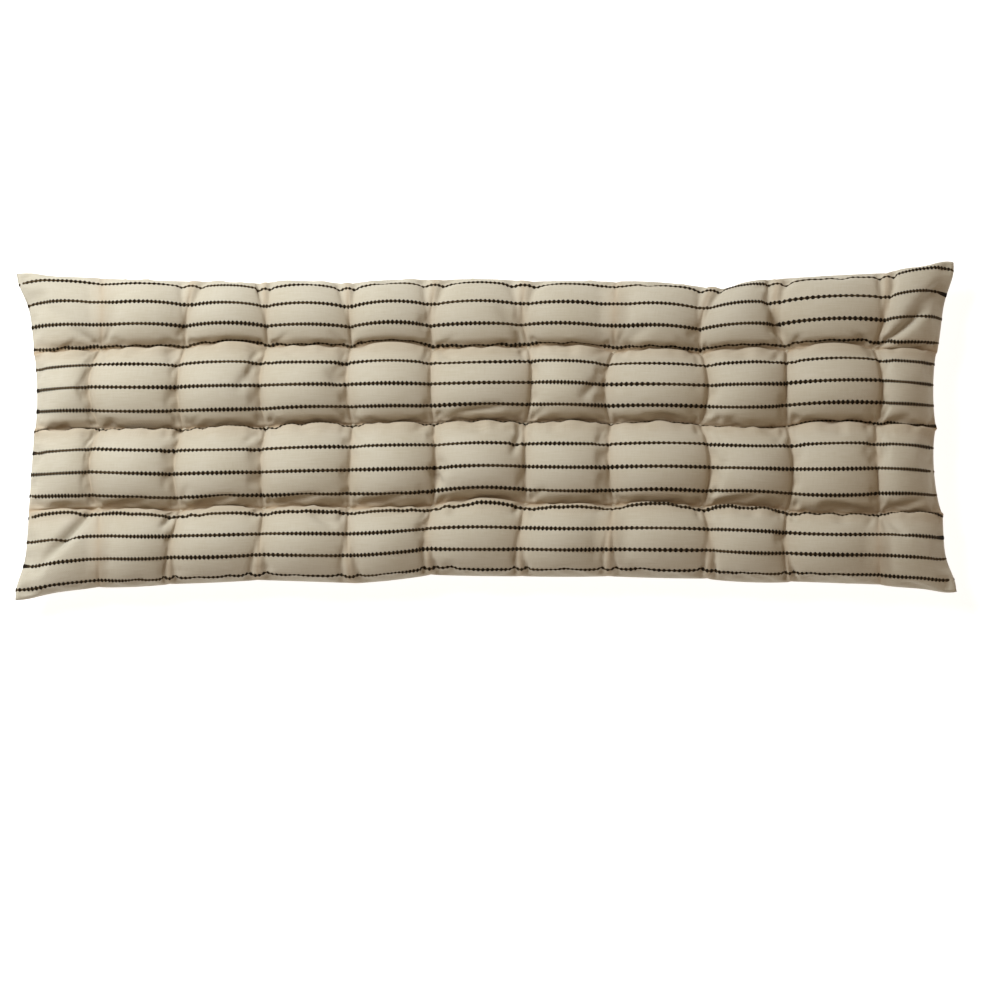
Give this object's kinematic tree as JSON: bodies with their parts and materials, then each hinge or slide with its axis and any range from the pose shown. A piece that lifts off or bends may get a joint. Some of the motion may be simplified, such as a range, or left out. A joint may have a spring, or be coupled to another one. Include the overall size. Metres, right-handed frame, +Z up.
{
  "type": "long throw pillow",
  "caption": "Long tufted throw pillow: two striped cotton panels sewn at a knife edge, softly filled and drawn in by rows of ties.",
  "frame": {"origin": "centre of the footprint, on the surface that the cushion lies on", "axes": "+X along the cushion's length, +Y across it towards the seam that is uppermost in the picture, +Z up, out of the face"},
  "size_m": [1.2, 0.436, 0.0838],
  "materials": {
    "cotton_cover": "matt cream cotton with dark beaded yarn stripes"
  },
  "bodies": {
    "root": {"cushion": "cotton_cover"}
  },
  "joints": []
}
